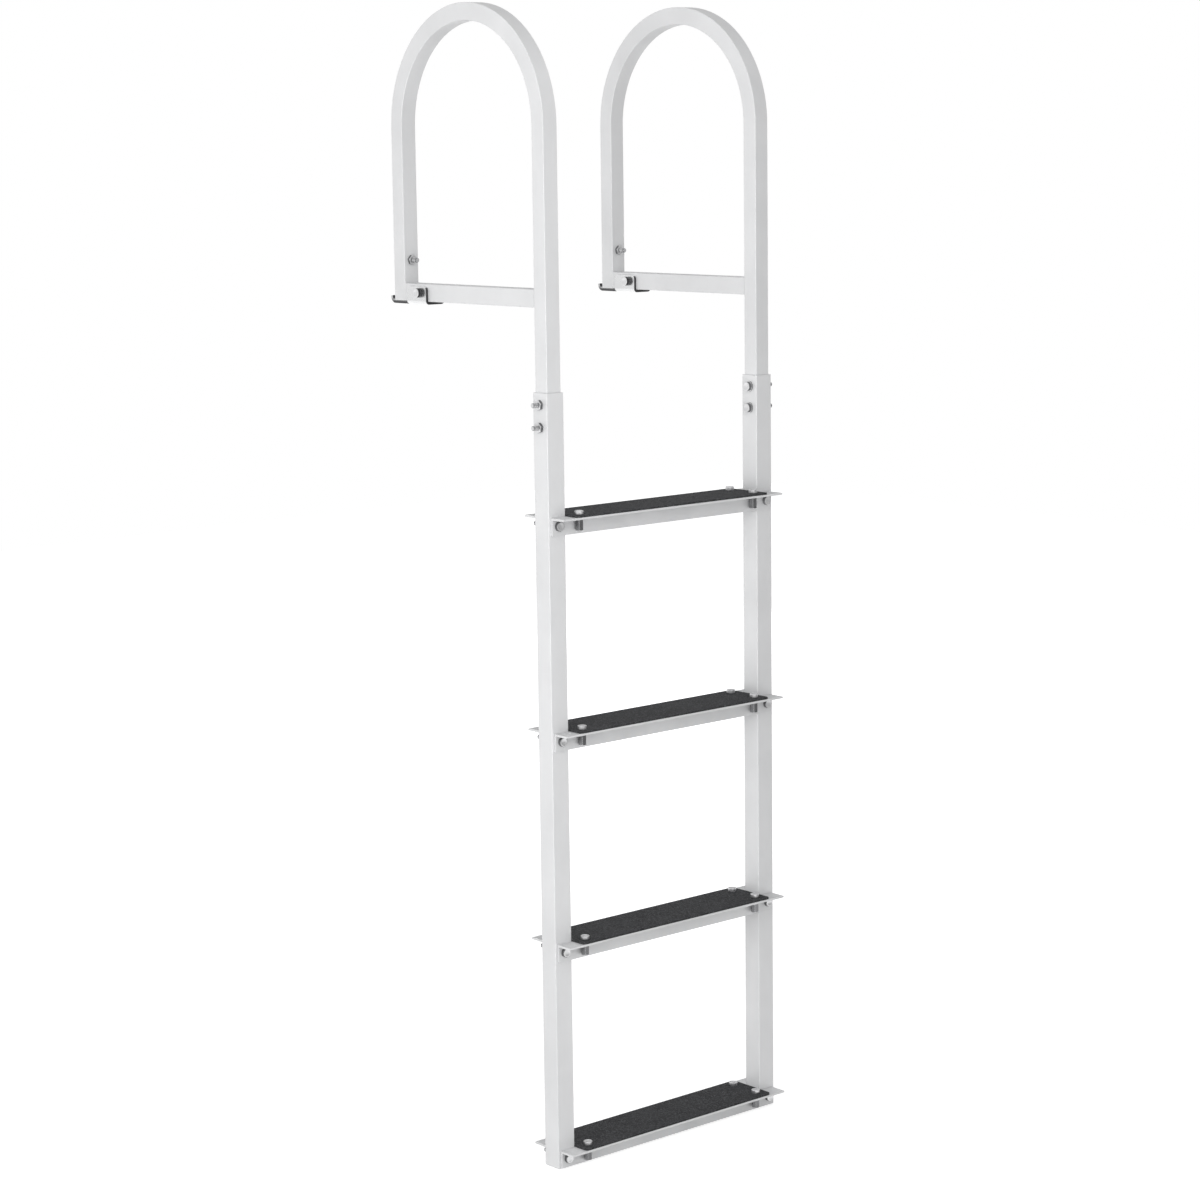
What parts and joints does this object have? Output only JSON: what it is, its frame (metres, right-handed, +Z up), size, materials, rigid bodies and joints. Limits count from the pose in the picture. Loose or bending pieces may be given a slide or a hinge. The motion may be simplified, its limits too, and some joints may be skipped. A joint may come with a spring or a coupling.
{
  "type": "dock ladder",
  "caption": "Removable dock ladder of square aluminium tube with bent hand loops, bolted treads under rubber mats and a pair of deck brackets.",
  "frame": {"origin": "centre of the left bracket's base, on its underside, below the bracket bolt", "axes": "+X from the left rail to the right rail seen from the water, +Y from the water to the dock, +Z up"},
  "size_m": [0.4599, 0.3827, 1.6504],
  "materials": {
    "tube": "bright satin anodised tube",
    "tread": "brushed mill aluminium",
    "bracket": "folded stainless sheet, satin",
    "bolts": "stainless bolts and nuts",
    "mat": "black non-slip rubber, fine grain"
  },
  "bodies": {
    "root": {"left_lower_rail": "tube", "left_handrail": "tube", "left_crossbar": "tube", "left_dock_bracket": "bracket", "left_bracket_bolt": "bolts", "left_leg_bolt": "bolts", "left_upper_sleeve_bolt": "bolts", "left_lower_sleeve_bolt": "bolts", "right_lower_rail": "tube", "right_handrail": "tube", "right_crossbar": "tube", "right_dock_bracket": "bracket", "right_bracket_bolt": "bolts", "right_leg_bolt": "bolts", "right_upper_sleeve_bolt": "bolts", "right_lower_sleeve_bolt": "bolts", "step_1": "tread", "mat_1": "mat", "step_2": "tread", "mat_2": "mat", "step_3": "tread", "mat_3": "mat", "step_4": "tread", "mat_4": "mat"}
  },
  "joints": []
}
